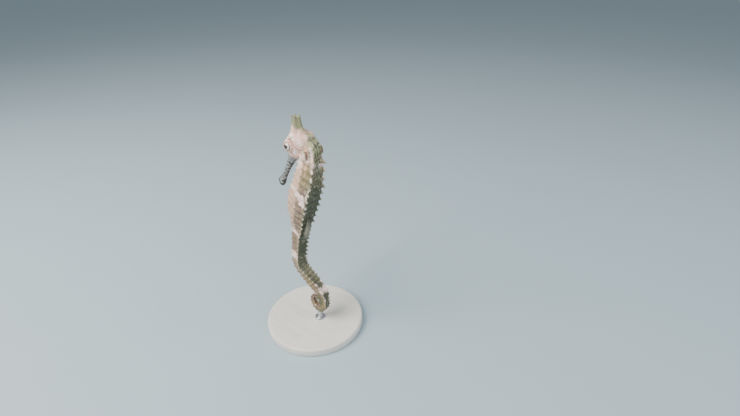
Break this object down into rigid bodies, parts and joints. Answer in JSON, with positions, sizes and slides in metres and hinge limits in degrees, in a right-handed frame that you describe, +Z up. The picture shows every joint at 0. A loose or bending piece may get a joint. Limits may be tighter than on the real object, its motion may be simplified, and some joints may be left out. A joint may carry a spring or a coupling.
{
  "type": "seahorse model on a display stand",
  "caption": "Life-size still model of a spiny, long-snouted seahorse with a curled tail, held upright by a flat round base and a short rod.",
  "frame": {"origin": "middle of the underside of the stand's base", "axes": "+Z up; the animal faces -Y and its left side is +X; its backbone and head lie in the plane X = 0, and trunk and upper tail are rolled 17 degrees about the backbone, the back to the left"},
  "size_m": [0.056, 0.056, 0.1276],
  "materials": {
    "body_skin": "painted cast resin skin over bony rings, satin",
    "head_skin": "painted cast resin skin, satin",
    "snout_skin": "painted cast resin skin with pale bars, satin",
    "coronet": "painted cast resin, matt",
    "eye": "pale iris and black pupil under a clear polished dome",
    "fin": "thin cast fin membrane on soft rays, satin",
    "stand_base": "turned wood, matt off-white lacquer",
    "stand_rod": "turned steel, fine brushing round the rod"
  },
  "bodies": {
    "root": {"snout": "snout_skin", "head": "head_skin", "coronet": "coronet", "gill_cover_left": "head_skin", "gill_cover_right": "head_skin", "eye_left": "eye", "eye_right": "eye", "neck": "body_skin", "trunk_upper": "body_skin", "trunk_lower": "body_skin", "tail_upper": "body_skin", "tail_middle": "body_skin", "tail_curl": "body_skin", "tail_tip": "body_skin", "dorsal_fin": "fin", "anal_fin": "fin", "pectoral_fin_left": "fin", "pectoral_fin_right": "fin", "stand_base": "stand_base", "stand_rod": "stand_rod"}
  },
  "joints": []
}
